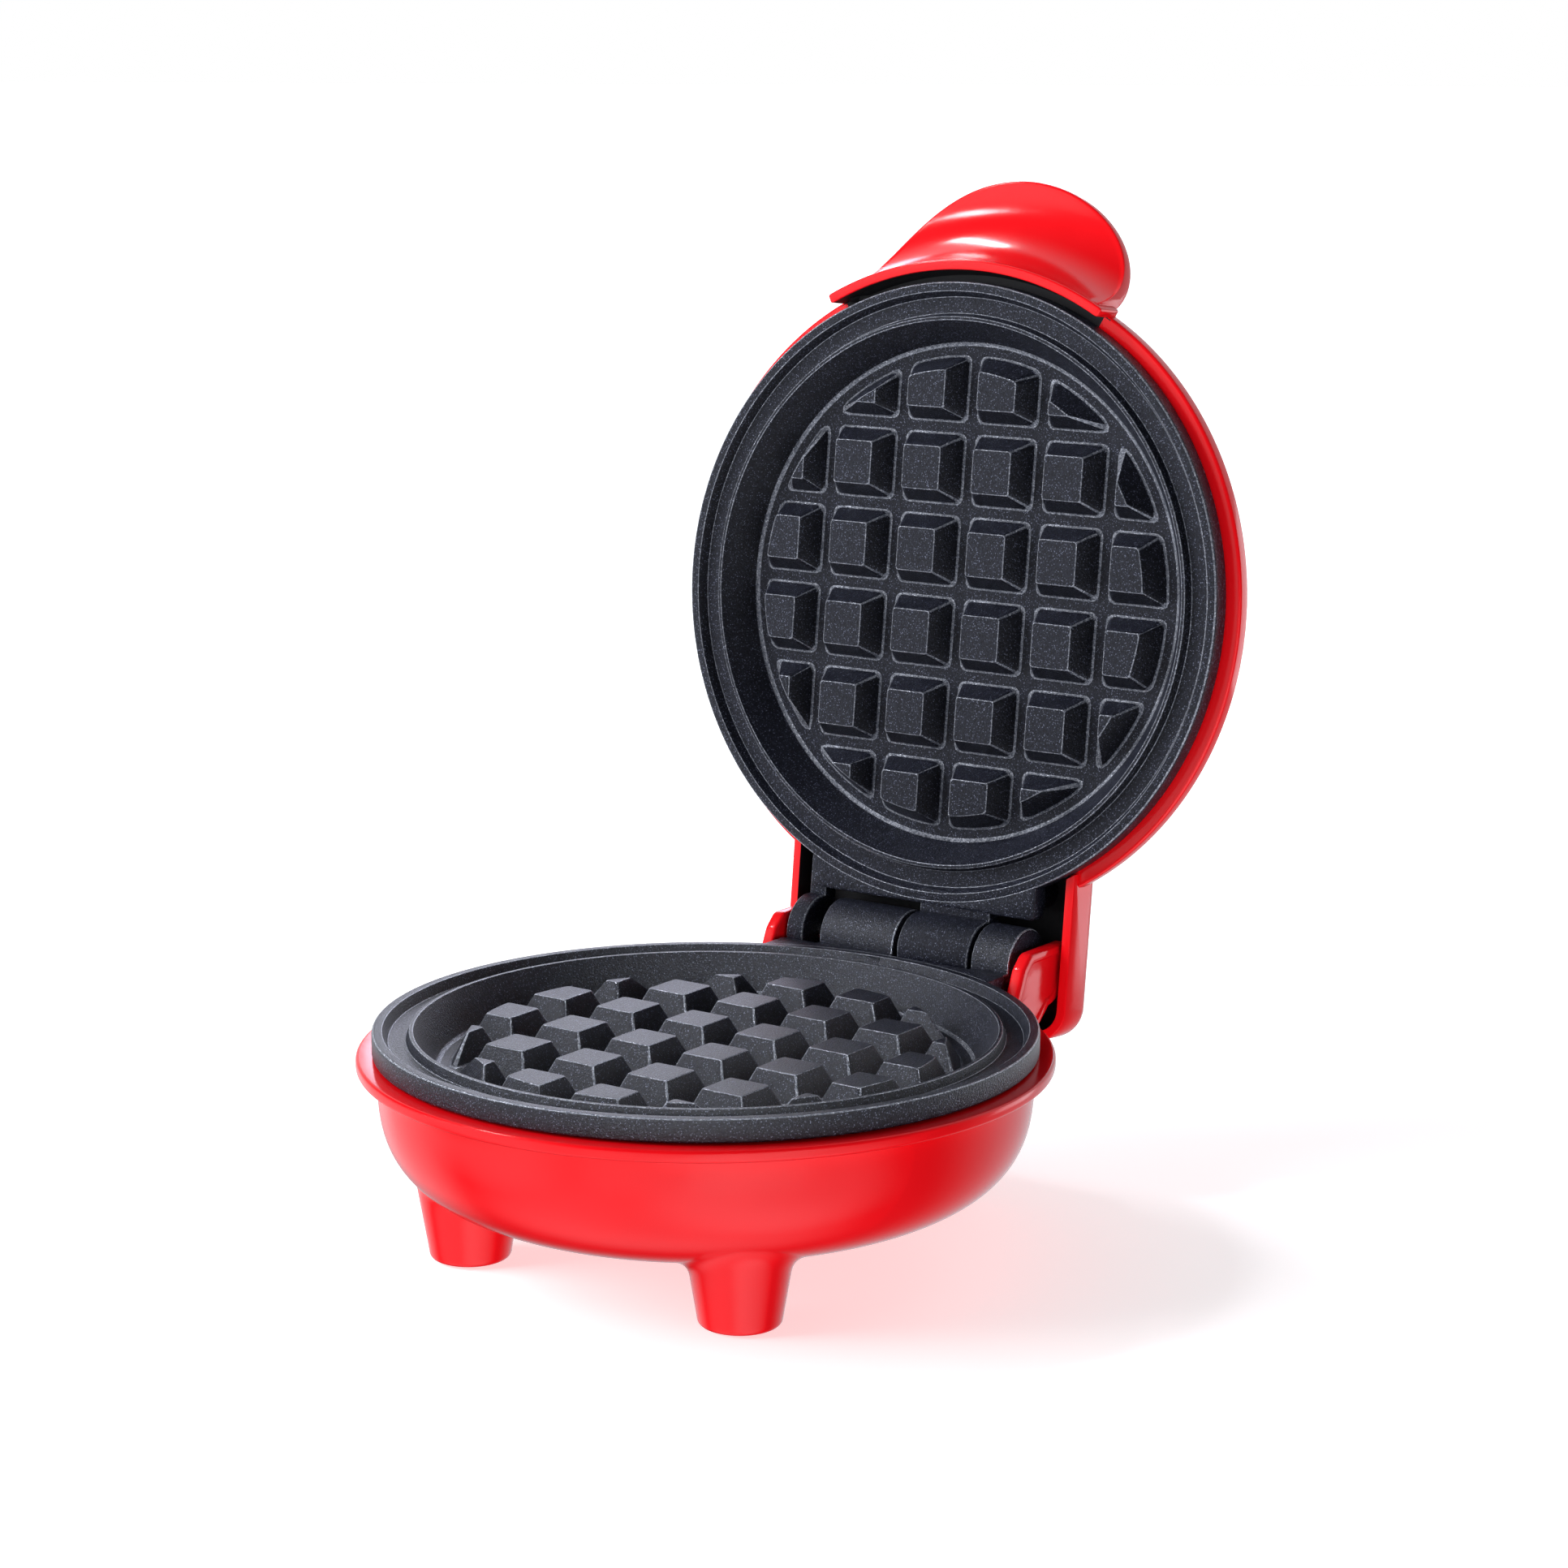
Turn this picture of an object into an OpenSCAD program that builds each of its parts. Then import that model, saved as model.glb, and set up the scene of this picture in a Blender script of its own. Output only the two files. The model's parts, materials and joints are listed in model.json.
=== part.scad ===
// Round waffle maker for one small waffle: two red clam-shell housings, each holding a cast
// cooking plate, joined by one steel pin through the knuckles of the two castings.
// Frame: +Z up, handle towards -Y, hinge towards +Y. The origin is on the table, under the
// centre of the cooking plates. The lid is drawn wide open, resting on its stop.
// Each half is drawn about the parting plane (z = 0), the base below it. The lid's castings
// and fittings are drawn the same way and turned over.

/* [Overall] */
// Height of the parting plane between the plates above the table
parting_h = 42; // [41:0.5:44]
// Angle between the closed lid and the lid on its stop
open_angle = 96; // [80:1:96]
// Distance of the hinge axis behind the plate centre
hinge_y = 69; // [69:0.1:69.5]

/* [Cooking plates] */
// Outer radius of a cast plate
plate_r = 60.1; // [59.8:0.1:60.3]
// Distance between the waffle studs
stud_pitch = 16; // [15.5:0.1:16]
// Width of a stud across its top
stud_top = 8.5; // [7:0.1:9]
// Width of a stud at the cavity floor
stud_base = 13.4; // [12:0.1:13.6]
// Depth of the cavity floor below the parting plane
cavity_depth = 7.5; // [6.5:0.1:8]
// Depth of the stud tops below the parting plane
stud_drop = 2.4; // [1.5:0.1:3]

/* [Housings] */
// Outer radius of the housing flanges
flange_r = 63; // [62.5:0.1:63.5]
// Wall thickness of the plastic housings
wall = 2.2; // [1.8:0.1:2.4]
// Depth of the bowl's bottom below the parting plane
bowl_depth = 32.3; // [32:0.1:33]
// Height of the lid's crown above the parting plane
dome_height = 27.5; // [27:0.1:29]
// Half width of the hinge tab at the back of the lid
tab_half = 32.7; // [32.5:0.1:33.5]
// Radius of the handle's outline in plan
handle_r = 30.4; // [29:0.1:30.8]

/* [Feet] */
// Sideways place of the front feet
front_foot_x = 30; // [28:0.5:31]
// Place of the front feet ahead of the plate centre
front_foot_y = 31; // [29:0.5:32]
// Sideways place of the rear feet
rear_foot_x = 18; // [17:0.5:19]
// Place of the rear feet behind the plate centre
rear_foot_y = 46; // [45:0.5:46.5]

/* [Hidden] */
$fn = 64;

gap = 0.2;                 // half the gap between the closed plates
eps = 0.01;
plastic_red = [0.85, 0.05, 0.07];
coating = [0.19, 0.20, 0.23];
steel = [0.75, 0.75, 0.77];
copper = [0.72, 0.45, 0.30];
ceramic = [0.93, 0.91, 0.85];

// Rim of a plate and how it sits on a housing flange
rim_bottom = 4.4;
flange_top = 4.75;
plate_floor = cavity_depth + 2.5;

// Shell curves: [outer radius, radius of the flat, depth, depth exponent, radius exponent,
// depth of the flange's outer face]
bowl_curve = [59.3, 21.1, bowl_depth, 3.1, 3.1, 7];
dome_curve = [59.3, 15, dome_height, 2.5, 2.4, 7.9];
curve_steps = 14;

// Hinge
knuckle_r = 5.8;
pin_r = 2;
pin_bore_r = 2.05;
pin_half = 29.4;
tongue_half = 26;
tongue_end = 60.6;
ear_inner = 27.3;
ear_outer = 30;
ear_r = 7.8;
ear_top = 3.8;
stop_y = hinge_y + 1.7;
saddle_half = 22;
lower_knuckles = [[-18.2, -1], [17, 25.5]];
upper_knuckles = [[-16.1, 0], [22.3, 26.2]];

// Lid tab and its screws
tab_front = 3.2;
tab_top = 13;
tab_wall = 1.8;
tab_end = hinge_y + 15;
tab_corner = 6.5;
lid_screw_x = 22;
lid_screw_y = 56;

// Handle: quarter ellipse of the finger scoop, as [centre radius, centre height, radial, height]
scoop = [79.5, 0.3, 15.3, 19.6];
handle_centre_y = -50.2;
visor_thick = 2.4;
neck_r = 21;
neck_y = -59.5;
skirt_in = 62.3;
skirt_out = 64.2;
skirt_half_angle = 29;

// Heating element and what holds it
element_r = 34;
tube_r = 2.9;
element_z = -plate_floor - gap - tube_r;
element_gap_angle = 28;
clip_boss_r = 27;
clip_angles = [30, 150, 270];
clip_top = element_z - tube_r - gap;
clip_thick = 1;
shield_top = clip_top - clip_thick - 0.1;
shield_thick = 0.8;
clip_screw_z = shield_top - shield_thick - 0.1;

// Feet and the pillars above them
foot_positions = [
    [front_foot_x, -front_foot_y], [-front_foot_x, -front_foot_y],
    [rear_foot_x, rear_foot_y], [-rear_foot_x, rear_foot_y]
];
foot_lift = 0.3;
screw_seat = 19;
pillar_top = 25.8;
pillar_r = 5;
well_r = 3.6;
pad_r = 4.6;
pad_thick = 1.8;

// Cord entry
gland_z = -21.5;
gland_bore_r = 3.1;
gland_body_r = 4.8;
gland_length = 18.5;
gland_start_y = 45;

lens_y = -32;

// ---------- placing ----------

module base_side() {
    translate([0, 0, parting_h]) children();
}

module lid_side() {
    translate([0, hinge_y, parting_h])
        rotate([-open_angle, 0, 0])
            translate([0, -hinge_y, 0]) children();
}

// Turns a base-side piece over, to make the lid's
module turned_over() {
    rotate([0, 180, 0]) children();
}

// Extrudes an outline drawn in the YZ plane from x = x0 to x = x1
module side_extrude(x0, x1) {
    translate([x0, 0, 0])
        rotate([90, 0, 90])
            linear_extrude(x1 - x0) children();
}

module tube_between(x0, x1, y, z, r) {
    translate([x0, y, z]) rotate([0, 90, 0]) cylinder(h = x1 - x0, r = r);
}

// A round wire through a list of points, with a bead at each bend
module wire(points, r) {
    for (i = [0:len(points) - 2]) {
        d = points[i + 1] - points[i];
        translate(points[i])
            rotate([0, acos(d.z / norm(d)), atan2(d.y, d.x)])
                cylinder(h = norm(d), r = r, $fn = 24);
    }
    for (p = points) translate(p) sphere(r = r * 1.15, $fn = 24);
}

// ---------- housing curves ----------

// Superellipse from the wall under the flange down to the flat of the shell
function shell_points(c, inset) = [
    for (i = [0:curve_steps])
        let (a = 90 * (1 - i / curve_steps))
        [c[1] + (c[0] - inset - c[1]) * pow(cos(a), 2 / c[4]),
         -c[5] - (c[2] - inset - c[5]) * pow(sin(a), 2 / c[3])]
];

module shell_outside(c) {
    rotate_extrude($fn = 128)
        polygon(concat(
            [[0, -c[2]]],
            shell_points(c, 0),
            [[flange_r - 0.6, -c[5]], [flange_r, -c[5] + 0.6],
             [flange_r, -flange_top - 0.5], [flange_r - 0.5, -flange_top], [0, -flange_top]]
        ));
}

module shell_inside(c) {
    rotate_extrude($fn = 128)
        polygon(concat(
            [[0, -c[2] + wall]],
            shell_points(c, wall),
            [[c[0] - wall, 0], [0, 0]]
        ));
}

// ---------- cast cooking plates ----------

module stud_ridges() {
    top = stud_top / 2;
    base = stud_base / 2;
    root = 0.5;
    spread = base + root * (base - top) / (cavity_depth - stud_drop);
    linear_extrude(6 * stud_pitch, center = true)
        for (i = [-2.5:1:2.5])
            translate([i * stud_pitch, 0])
                polygon([[-spread, -cavity_depth - root], [spread, -cavity_depth - root],
                         [top, -stud_drop], [-top, -stud_drop]]);
}

module studs() {
    limit_floor = 46.2;
    limit_top = 43.3;
    intersection() {
        rotate([90, 0, 90]) stud_ridges();
        rotate([90, 0, 0]) stud_ridges();
        translate([0, 0, -cavity_depth - 0.5])
            cylinder(h = cavity_depth - stud_drop + 0.5, r1 = limit_floor, r2 = limit_top, $fn = 96);
    }
}

module pan() {
    rotate_extrude($fn = 128)
        polygon([
            [0, -plate_floor], [49.3, -plate_floor], [54.6, -rim_bottom], [plate_r, -rim_bottom],
            [plate_r, -gap - 0.6], [plate_r - 0.6, -gap], [58.6, -gap], [58.2, -2.1],
            [54.6, -2.1], [54.1, -0.4], [52.7, -0.4], [48.5, -cavity_depth], [0, -cavity_depth]
        ]);
}

module knuckles(spans) {
    for (s = spans) {
        tube_between(s[0], s[1], hinge_y, 0, knuckle_r);
        side_extrude(s[0], s[1])
            polygon([[tongue_end - 2, -2], [hinge_y, -2], [hinge_y, -knuckle_r + 0.1],
                     [hinge_y - 3.6, -4.3], [tongue_end - 2, -4.3]]);
    }
}

module casting(spans) {
    difference() {
        union() {
            pan();
            studs();
            difference() {
                translate([-tongue_half, 50, -4.3])
                    cube([2 * tongue_half, tongue_end - 50, 4.3 - gap]);
                translate([0, 0, -5]) cylinder(h = 6, r = plate_r - 1, $fn = 128);
            }
            knuckles(spans);
            for (a = clip_angles)
                rotate([0, 0, a])
                    translate([clip_boss_r, 0, clip_top + gap])
                        cylinder(h = -clip_top - gap - plate_floor + 1, r = 2.6);
        }
        tube_between(-tongue_half - 1, tongue_half + 1, hinge_y, 0, pin_bore_r);
        for (a = clip_angles)
            rotate([0, 0, a])
                translate([clip_boss_r, 0, clip_top - 1])
                    cylinder(h = 5.2, r = 1.3);
    }
}

module lower_plate() {
    boss_bottom = pillar_top - parting_h + gap;
    color(coating) base_side()
        difference() {
            union() {
                casting(lower_knuckles);
                for (p = foot_positions)
                    translate([p.x, p.y, boss_bottom])
                        cylinder(h = -boss_bottom - plate_floor + 1.4, r = 3.6);
            }
            for (p = foot_positions)
                translate([p.x, p.y, boss_bottom - 1])
                    cylinder(h = -boss_bottom - plate_floor + 0.8, r = 1.55);
        }
}

module upper_plate() {
    color(coating) lid_side() turned_over()
        difference() {
            union() {
                casting(upper_knuckles);
                for (x = [-lid_screw_x, lid_screw_x])
                    translate([x, lid_screw_y, -10]) cylinder(h = 7, r = 3.4);
                // Hook that catches behind the lid's front wall
                translate([-5, -57.6, -8.9]) cube([10, 6.6, 1.5]);
            }
            for (x = [-lid_screw_x, lid_screw_x])
                translate([x, lid_screw_y, -11]) cylinder(h = 7, r = 1.55);
        }
}

// ---------- heating ----------

module element() {
    translate([0, 0, element_z])
        rotate([0, 0, 90 + element_gap_angle])
            rotate_extrude(angle = 360 - 2 * element_gap_angle)
                translate([element_r, 0]) circle(r = tube_r);
    for (s = [-1, 1])
        rotate([0, 0, 90 + s * element_gap_angle])
            translate([element_r, 0, 0]) {
                translate([0, 0, element_z]) sphere(r = tube_r + 0.1);
                translate([0, 0, -19.4]) cylinder(h = 19.4 + element_z, r = 2.2);
                translate([0, 0, -21]) cylinder(h = 4, r = 1);
            }
}

module element_clips() {
    for (a = clip_angles)
        rotate([0, 0, a])
            difference() {
                translate([24, -4, clip_top - clip_thick]) cube([14, 8, clip_thick]);
                translate([clip_boss_r, 0, clip_top - 2]) cylinder(h = 3, r = 1.5);
            }
}

module clip_screws() {
    for (a = clip_angles)
        rotate([0, 0, a])
            translate([clip_boss_r, 0, clip_screw_z - 1.3])
                difference() {
                    union() {
                        cylinder(h = 1.3, r = 2.5);
                        cylinder(h = 5.8, r = 1.25);
                    }
                    translate([-1.8, -0.3, -0.1]) cube([3.6, 0.6, 0.7]);
                }
}

module heat_shield(radius, holes) {
    difference() {
        translate([0, 0, shield_top - shield_thick]) cylinder(h = shield_thick, r = radius, $fn = 128);
        translate([0, 0, shield_top - 2]) cylinder(h = 4, r = 8.6);
        for (s = [-1, 1])
            rotate([0, 0, 90 + s * element_gap_angle])
                translate([element_r, 0, shield_top - 2]) cylinder(h = 4, r = 3.4);
        for (a = clip_angles)
            rotate([0, 0, a]) translate([clip_boss_r, 0, shield_top - 2]) cylinder(h = 4, r = 1.5);
        for (h = holes)
            translate([h.x, h.y, shield_top - 2]) cylinder(h = 4, r = pillar_r + 0.6);
    }
}

module lower_element() { color(steel) base_side() element(); }
module upper_element() { color(steel) lid_side() turned_over() element(); }
module lower_element_clips() { color(steel) base_side() element_clips(); }
module upper_element_clips() { color(steel) lid_side() turned_over() element_clips(); }
module lower_clip_screws() { color(steel) base_side() clip_screws(); }
module upper_clip_screws() { color(steel) lid_side() turned_over() clip_screws(); }
module lower_heat_shield() { color(steel) base_side() heat_shield(42.4, foot_positions); }
module upper_heat_shield() { color(steel) lid_side() turned_over() heat_shield(46, []); }

// ---------- base ----------

module foot() {
    rotate_extrude()
        polygon([[0, foot_lift], [5.8, foot_lift], [7.1, 1.1], [7.6, 2.4], [9.2, 12], [10.6, 20.5],
                 [0, 20.5]]);
}

module saddle() {
    side_extrude(-saddle_half, saddle_half)
        polygon([[44, -7.3], [stop_y, -7.3], [stop_y, -14.2], [66.5, -18.5], [58, -22.5],
                 [44, -26]]);
}

module ear() {
    intersection() {
        union() {
            translate([hinge_y, 0]) circle(r = ear_r);
            polygon([[50, -13], [50, -7.5], [57.3, -5.5], [60.3, 1.2], [63, ear_top],
                     [hinge_y, ear_top], [hinge_y, -8.8], [65, -12], [62, -13]]);
        }
        translate([40, -13]) square([50, 13 + ear_top]);
    }
}

module base_housing() {
    color(plastic_red) difference() {
        union() {
            difference() {
                union() {
                    base_side() shell_outside(bowl_curve);
                    base_side() saddle();
                    for (p = foot_positions) translate([p.x, p.y, 0]) foot();
                }
                base_side() shell_inside(bowl_curve);
            }
            for (p = foot_positions)
                translate([p.x, p.y, 11]) cylinder(h = pillar_top - 11, r = pillar_r);
            base_side() side_extrude(ear_inner, ear_outer) ear();
            base_side() side_extrude(-ear_outer, -ear_inner) ear();
        }
        for (p = foot_positions)
            translate([p.x, p.y, 0]) {
                translate([0, 0, -1]) cylinder(h = pad_thick + 1.1, r = pad_r + 0.2);
                translate([0, 0, -1]) cylinder(h = screw_seat + 1, r = well_r);
                translate([0, 0, screw_seat - 1]) cylinder(h = pillar_top, r = 1.7);
            }
        base_side() tube_between(-pin_half - 0.2, pin_half + 0.2, hinge_y, 0, pin_bore_r);
        base_side() translate([0, 40, gland_z]) rotate([-90, 0, 0])
            cylinder(h = 40, r = gland_body_r + 0.1);
    }
}

module foot_pads() {
    color([0.12, 0.12, 0.13])
        for (p = foot_positions)
            translate([p.x, p.y, 0]) cylinder(h = pad_thick, r = pad_r);
}

module base_screws() {
    color(steel)
        for (p = foot_positions)
            translate([p.x, p.y, screw_seat]) {
                difference() {
                    translate([0, 0, -2]) cylinder(h = 2, r = 3);
                    translate([-0.5, -2.2, -2.5]) cube([1, 4.4, 1.5]);
                    translate([-2.2, -0.5, -2.5]) cube([4.4, 1, 1.5]);
                }
                cylinder(h = 11.8, r = 1.5);
            }
}

module cord_gland() {
    color([0.1, 0.1, 0.1]) base_side()
        translate([0, gland_start_y, gland_z])
            rotate([-90, 0, 0])
                difference() {
                    union() {
                        cylinder(h = gland_length, r = gland_body_r);
                        translate([0, 0, -1.6]) cylinder(h = 1.6, r = gland_body_r + 1.2);
                    }
                    translate([0, 0, -3]) cylinder(h = gland_length + 6, r = gland_bore_r);
                }
}

module hinge_pin() {
    color(steel) base_side() tube_between(-pin_half, pin_half, hinge_y, 0, pin_r);
}

block_size = [22, 11, 7];
block_low = [-11, 19, -26.3];
block_screw_x = [-6, 0, 6];

module terminal_block() {
    color(ceramic) base_side()
        difference() {
            translate(block_low) cube(block_size);
            for (x = block_screw_x)
                translate([x, block_low.y + block_size.y / 2, block_low.z + 3.4]) {
                    cylinder(h = 5, r = 1.9);
                    translate([0, 8, 0]) rotate([90, 0, 0]) cylinder(h = 16, r = 1.3);
                }
        }
}

module terminal_screws() {
    color(steel) base_side()
        for (x = block_screw_x)
            translate([x, block_low.y + block_size.y / 2, block_low.z + 4.8])
                difference() {
                    cylinder(h = 2, r = 1.7);
                    translate([-2, -0.3, 1.2]) cube([4, 0.6, 2]);
                }
}

fuse_y = -8;
fuse_z = -22.9;

module thermal_fuse() {
    color(ceramic) base_side() {
        tube_between(-7, 7, fuse_y, fuse_z, 2.3);
        tube_between(-9.5, 9.5, fuse_y, fuse_z, 0.6);
    }
}

// Crimp sleeve on an element pin
module sleeve(x, y) {
    translate([x, y, -22.4])
        difference() {
            cylinder(h = 2.9, r = 1.9);
            translate([0, 0, 1.2]) cylinder(h = 4, r = 1.05);
        }
}

element_pin_x = element_r * sin(element_gap_angle);
element_pin_y = element_r * cos(element_gap_angle);

module base_wiring() {
    front = block_low.y - 0.6;
    color([0.85, 0.82, 0.75]) base_side() {
        for (s = [-1, 1]) sleeve(s * element_pin_x, element_pin_y);
        wire([[element_pin_x, element_pin_y, fuse_z], [16, 15, fuse_z], [6, 12, fuse_z],
              [6, front, fuse_z]], 1);
        wire([[-element_pin_x, element_pin_y, fuse_z], [-19, 4, fuse_z], [-15, fuse_y, fuse_z],
              [-11, fuse_y, fuse_z]], 1);
        wire([[11, fuse_y, fuse_z], [15, fuse_y, fuse_z], [14, 3, fuse_z], [-6, 8, fuse_z],
              [-6, front, fuse_z]], 1);
    }
}

// ---------- lid ----------

module tab_outline(inset) {
    half = tab_half - inset;
    end = tab_end - inset;
    r = tab_corner - inset;
    translate([-half, 46]) square([2 * half, end - r - 46]);
    translate([-half + r, 46]) square([2 * (half - r), end - 46]);
    for (s = [-1, 1]) translate([s * (half - r), end - r]) circle(r = r);
}

function scoop_point(a, grow) = [
    scoop[0] - (scoop[2] + grow) * cos(a), scoop[1] + (scoop[3] + grow) * sin(a)
];

// Fan of the handle about the plate axis, between two angles each side of -Y
module front_fan(half_angle) {
    rotate([0, 0, 270 - half_angle]) rotate_extrude(angle = 2 * half_angle, $fn = 128) children();
}

// The handle is a curved visor with a hollow neck on its back that runs into the dome
module handle_outside() {
    intersection() {
        union() {
            front_fan(60)
                polygon(concat(
                    [[skirt_in + 0.9, 3.6]],
                    [for (a = [10:7.4:84]) scoop_point(a, 0)],
                    [[81, 19.9], [81, 22.3]],
                    [for (a = [84:-8.5:14]) scoop_point(a, visor_thick)]
                ));
            intersection() {
                front_fan(60)
                    polygon(concat(
                        [[46, 10]],
                        [for (a = [24:7.5:84]) scoop_point(a, visor_thick / 2)],
                        [[79.2, 21.1], [79.2, 22.5], [66, 23.4], [46, 23.2]]
                    ));
                translate([0, neck_y, 0]) cylinder(h = 40, r = neck_r, $fn = 128);
            }
        }
        translate([0, handle_centre_y, -1]) cylinder(h = 40, r = handle_r, $fn = 128);
    }
    front_fan(skirt_half_angle)
        polygon([[skirt_in, scoop[1]], [skirt_out, scoop[1]], [skirt_out, 7], [skirt_in, 7]]);
}

module handle_inside() {
    intersection() {
        front_fan(60)
            polygon(concat(
                [[48, 8.6]],
                [for (a = [24:6.4:56]) scoop_point(a, visor_thick)],
                [[70.2, 20.4], [66, 21], [48, 20.8]]
            ));
        translate([0, neck_y, -2]) cylinder(h = 42, r = neck_r - wall, $fn = 128);
    }
}

module lid_housing() {
    tab_height = tab_top - tab_front;
    color(plastic_red) lid_side()
        difference() {
            union() {
                difference() {
                    union() {
                        turned_over() shell_outside(dome_curve);
                        handle_outside();
                        translate([0, 0, tab_front]) linear_extrude(tab_height) tab_outline(0);
                    }
                    turned_over() shell_inside(dome_curve);
                    handle_inside();
                    translate([0, 0, tab_front - 1])
                        linear_extrude(tab_height + 1 - tab_wall) tab_outline(tab_wall);
                    // Room for the plate's rim inside the tab's cheeks
                    translate([0, 0, -1]) cylinder(h = flange_top + 0.9, r = 60.5, $fn = 128);
                    // Pocket for the plate's front hook
                    translate([-5.4, -58, 7.2]) cube([10.8, 8, 1.9]);
                }
                for (s = [-1, 1])
                    translate([s * lid_screw_x, lid_screw_y, 10.2]) cylinder(h = 2.4, r = 3.6);
            }
            for (s = [-1, 1])
                translate([s * lid_screw_x, lid_screw_y, 0]) {
                    translate([0, 0, 9]) cylinder(h = 6, r = 1.7);
                    translate([0, 0, 11.4]) cylinder(h = 10, r = 3.3);
                }
            translate([0, lens_y, 20]) cylinder(h = 12, r = 3.3);
        }
}

module lid_screws() {
    color(steel) lid_side()
        for (s = [-1, 1])
            translate([s * lid_screw_x, lid_screw_y, 4.4]) {
                cylinder(h = 7.1, r = 1.5);
                translate([0, 0, 7])
                    difference() {
                        cylinder(h = 1.5, r = 3);
                        translate([-0.5, -2.2, 0.7]) cube([1, 4.4, 1]);
                        translate([-2.2, -0.5, 0.7]) cube([4.4, 1, 1]);
                    }
            }
}

module thermostat() {
    color(ceramic) lid_side() turned_over() {
        translate([0, 0, -17]) cylinder(h = 17 - plate_floor - gap, r = 7.6);
        translate([0, 0, -plate_floor - gap - 1.2]) cylinder(h = 1.2, r = 8.4);
        for (s = [-1, 1]) translate([s * 4.5 - 0.4, -2, -21.5]) cube([0.8, 4, 5]);
    }
}

module neon_lamp() {
    color("orange") lid_side() {
        tube_between(-5, 5, lens_y, 21.9, 1.9);
        tube_between(-8, 8, lens_y, 21.9, 0.5);
    }
}

module indicator_lens() {
    color([0.9, 0.35, 0.1]) lid_side()
        translate([0, lens_y, 24.1])
            difference() {
                union() {
                    cylinder(h = 2.9, r = 3.2);
                    translate([0, 0, 2.9]) cylinder(h = 0.4, r1 = 3.2, r2 = 2.6);
                }
                translate([0, 0, -1]) cylinder(h = 2.4, r = 2.2);
            }
}

module lid_wiring() {
    wire_z = -22.6;
    color([0.85, 0.82, 0.75]) lid_side() turned_over() {
        for (s = [-1, 1]) sleeve(s * element_pin_x, element_pin_y);
        wire([[element_pin_x, element_pin_y, wire_z], [13, 10, wire_z], [6, 0, wire_z]], 0.9);
        wire([[-element_pin_x, element_pin_y, wire_z], [-15, -6, wire_z], [-9.2, lens_y, wire_z]], 0.9);
    }
}

base_housing();
foot_pads();
base_screws();
lower_plate();
lower_element();
lower_element_clips();
lower_clip_screws();
lower_heat_shield();
thermal_fuse();
terminal_block();
terminal_screws();
base_wiring();
cord_gland();
hinge_pin();
lid_housing();
lid_screws();
upper_plate();
upper_element();
upper_element_clips();
upper_clip_screws();
upper_heat_shield();
thermostat();
neon_lamp();
indicator_lens();
lid_wiring();
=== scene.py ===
"""Looks of the waffle maker: rounded housings, cast grid plates, materials, light and camera.

Lengths are millimetres, the lights' metres. Each half is drawn as in the CAD: about the parting
plane, with the lid shut.
"""

import json
import math

import bmesh
import bpy
import numpy as np
from mathutils import Matrix, Vector


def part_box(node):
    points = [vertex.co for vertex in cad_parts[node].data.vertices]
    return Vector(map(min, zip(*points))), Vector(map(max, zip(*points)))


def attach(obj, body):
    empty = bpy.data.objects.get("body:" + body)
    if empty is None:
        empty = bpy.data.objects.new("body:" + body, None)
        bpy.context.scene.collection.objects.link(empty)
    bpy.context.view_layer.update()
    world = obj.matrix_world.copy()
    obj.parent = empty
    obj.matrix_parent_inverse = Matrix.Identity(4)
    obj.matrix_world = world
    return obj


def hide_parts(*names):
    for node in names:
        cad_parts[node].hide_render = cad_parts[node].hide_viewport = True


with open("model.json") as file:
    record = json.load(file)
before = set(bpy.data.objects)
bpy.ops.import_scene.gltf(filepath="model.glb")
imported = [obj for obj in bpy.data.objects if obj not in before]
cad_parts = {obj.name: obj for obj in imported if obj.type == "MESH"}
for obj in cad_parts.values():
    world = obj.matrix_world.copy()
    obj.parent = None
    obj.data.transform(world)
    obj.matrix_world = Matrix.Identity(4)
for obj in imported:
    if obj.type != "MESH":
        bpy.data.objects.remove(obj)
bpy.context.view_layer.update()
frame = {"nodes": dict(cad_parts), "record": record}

MM = 0.001
JOINT = frame["record"]["behaviour"]["joints"][0]
HINGE_Y, PARTING_Z = (c / MM for c in JOINT["pos_m"][1:])
OPEN_ANGLE = math.radians(JOINT["range_deg"][1])


def node_box(node):
    """Lowest and highest corner of a CAD node."""
    low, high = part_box(node)
    return np.array(low) / MM, np.array(high) / MM


FLANGE_R = node_box("base_housing")[1][0]
PLATE_R = node_box("lower_plate")[1][0]
PIN_LOW, PIN_HIGH = node_box("hinge_pin")
PIN_R = (PIN_HIGH[2] - PIN_LOW[2]) / 2
PIN_PLAY = 0.05
AXIS_R = 0.4  # where the profiles that are spun start and end, beside their axis


# ---------- outlines ----------

def circle(steps):
    """Unit vectors all round."""
    angles = np.linspace(0, 2 * math.pi, steps, endpoint=False)
    return np.stack([np.cos(angles), np.sin(angles)], 1)


def ring_at(centre, radius, z, around):
    """A ring of 3-D points; radius and z are one number, or one for each point."""
    plan = np.array(centre) + around * np.reshape(radius, (-1, 1))
    return np.column_stack([plan, np.broadcast_to(z, len(around))])


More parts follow.
